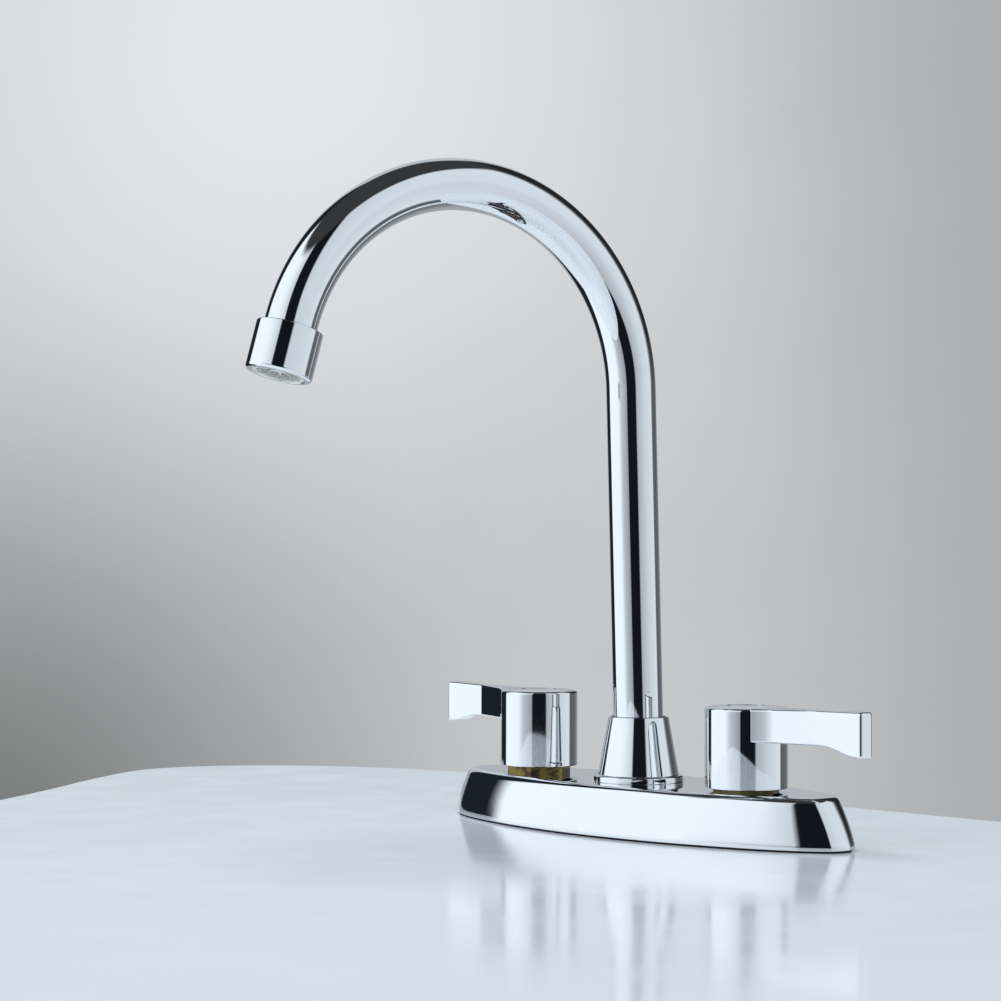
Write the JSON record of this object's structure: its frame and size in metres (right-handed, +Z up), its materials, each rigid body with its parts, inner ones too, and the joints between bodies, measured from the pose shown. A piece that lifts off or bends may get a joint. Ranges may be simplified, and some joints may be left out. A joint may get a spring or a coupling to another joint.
{
  "type": "two handle faucet",
  "caption": "Deck-mounted basin faucet: swivel gooseneck spout on a conical collar, flat lever handles on round hubs, shared oval deck plate, inlet shanks with mounting nuts.",
  "frame": {"origin": "on the deck, in the middle between the two valve axes", "axes": "+X from the hot valve to the cold valve, -Y to the front where the spout leans, +Z up"},
  "size_m": [0.2133, 0.1884, 0.2852],
  "materials": {
    "chrome_plate": "polished chrome plate on cast metal",
    "chrome_tube": "polished chrome plate on brass tube",
    "chrome_fittings": "polished chrome plate on brass",
    "hot_handle_chrome": "polished chrome plate on cast zinc",
    "cold_handle_chrome": "polished chrome plate on cast zinc",
    "hot_index": "chromed button with a faint red tint",
    "cold_index": "chromed button with a faint blue tint",
    "brass": "machined brass",
    "copper_tube": "drawn copper",
    "rubber": "black moulded rubber",
    "foam_rubber": "dense black foam rubber",
    "acetal": "natural acetal",
    "ceramic": "lapped alumina",
    "steel": "stainless steel",
    "insert_plastic": "moulded white plastic",
    "nut_plastic": "moulded grey plastic"
  },
  "bodies": {
    "base": {"deck_cover": "chrome_plate", "base_gasket": "foam_rubber", "spout_socket": "brass", "swivel_washer": "acetal", "spout_nut": "brass", "spout_collar": "chrome_fittings", "hot_valve_body": "brass", "hot_cross_tube": "copper_tube", "hot_lock_nut": "brass", "hot_bonnet": "brass", "hot_bonnet_ring": "rubber", "hot_seat_seal": "rubber", "hot_fixed_disc": "ceramic", "cold_valve_body": "brass", "cold_cross_tube": "copper_tube", "cold_lock_nut": "brass", "cold_bonnet": "brass", "cold_bonnet_ring": "rubber", "cold_seat_seal": "rubber", "cold_fixed_disc": "ceramic"},
    "hot_handle_body": {"hot_handle": "hot_handle_chrome", "hot_handle_screw": "steel", "hot_index_cap": "hot_index", "hot_stem": "brass", "hot_stem_ring": "rubber", "hot_moving_disc": "ceramic"},
    "hot_mounting_body": {"hot_mounting_washer": "steel", "hot_mounting_nut": "nut_plastic"},
    "cold_handle_body": {"cold_handle": "cold_handle_chrome", "cold_handle_screw": "steel", "cold_index_cap": "cold_index", "cold_stem": "brass", "cold_stem_ring": "rubber", "cold_moving_disc": "ceramic"},
    "cold_mounting_body": {"cold_mounting_washer": "steel", "cold_mounting_nut": "nut_plastic"},
    "spout_body": {"spout_ferrule": "brass", "spout_rings": "rubber", "spout_tube": "chrome_tube", "outlet_adapter": "brass", "aerator_housing": "chrome_fittings", "aerator_gasket": "rubber", "aerator_screen": "steel", "aerator_insert": "insert_plastic"}
  },
  "joints": [
    {"name": "hot_handle_turn", "type": "hinge", "parent": "base", "child": "hot_handle_body", "pos_m": [-0.0508, 0, 0.02], "axis": [0, 0, 1], "range_deg": [0, 90]},
    {"name": "cold_handle_turn", "type": "hinge", "parent": "base", "child": "cold_handle_body", "pos_m": [0.0508, 0, 0.02], "axis": [0, 0, 1], "range_deg": [-90, 0]},
    {"name": "spout_swivel", "type": "hinge", "parent": "base", "child": "spout_body", "pos_m": [0, 0, 0.03], "axis": [0, 0, 1], "continuous": true},
    {"name": "hot_nut_travel", "type": "slide", "parent": "base", "child": "hot_mounting_body", "axis": [0, 0, 1], "range_m": [-0.012, 0.018]},
    {"name": "cold_nut_travel", "type": "slide", "parent": "base", "child": "cold_mounting_body", "axis": [0, 0, 1], "range_m": [-0.012, 0.018]}
  ]
}
